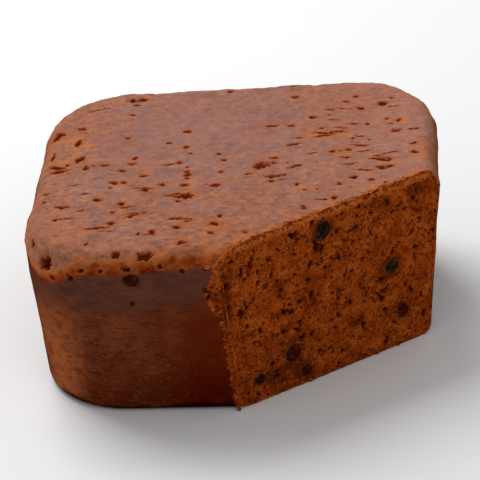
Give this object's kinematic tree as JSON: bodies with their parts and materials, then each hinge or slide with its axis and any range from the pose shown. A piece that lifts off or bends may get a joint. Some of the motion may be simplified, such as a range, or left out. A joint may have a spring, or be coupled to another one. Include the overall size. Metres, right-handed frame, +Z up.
{
  "type": "fruit cake",
  "caption": "Square round-cornered fruit cake with one corner wedge cut away at a slant, showing dark moist crumb and dried fruit.",
  "frame": {"origin": "middle of the base's bounding box, on the surface that the cake stands on", "axes": "+X to the right along the front side, +Y from the front to the rear, +Z up; the slanted cut faces +X and -Y"},
  "size_m": [0.1566, 0.1469, 0.0714],
  "materials": {
    "crust": "satin mauve-brown moist crust",
    "dried_fruit": "satin, almost black raisin skin"
  },
  "bodies": {
    "root": {"cake": "crust", "fruit_cut_1": "dried_fruit", "fruit_cut_2": "dried_fruit", "fruit_cut_3": "dried_fruit", "fruit_cut_4": "dried_fruit", "fruit_cut_5": "dried_fruit", "fruit_cut_6": "dried_fruit", "fruit_cut_7": "dried_fruit", "fruit_cut_8": "dried_fruit", "fruit_cut_9": "dried_fruit", "fruit_side_1": "dried_fruit", "fruit_side_2": "dried_fruit", "fruit_side_3": "dried_fruit", "fruit_side_4": "dried_fruit", "fruit_side_5": "dried_fruit"}
  },
  "joints": []
}
